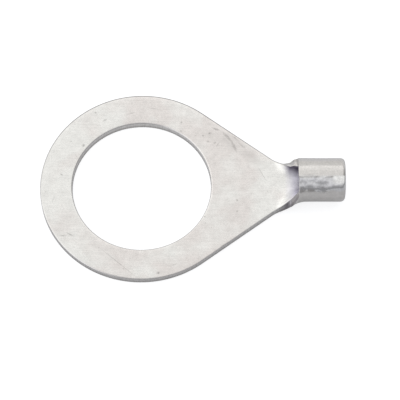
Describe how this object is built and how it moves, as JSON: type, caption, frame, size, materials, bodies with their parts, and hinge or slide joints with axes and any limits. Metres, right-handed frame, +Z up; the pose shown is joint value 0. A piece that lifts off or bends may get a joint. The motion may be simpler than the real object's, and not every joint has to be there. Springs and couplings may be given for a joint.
{
  "type": "ring terminal",
  "caption": "Bare ring terminal: a flat ring tongue for a stud, its tail rolled into a brazed barrel for a wire.",
  "frame": {"origin": "centre of the stud hole on the underside of the tongue", "axes": "+X along the wire barrel to its mouth, +Z up off the flat tongue, along the stud"},
  "size_m": [0.0287, 0.0192, 0.0042],
  "materials": {
    "tinned_copper": "satin electroplated tin, slightly mottled, with a rougher braze along the barrel's seam"
  },
  "bodies": {
    "root": {"ring_terminal": "tinned_copper"}
  },
  "joints": []
}
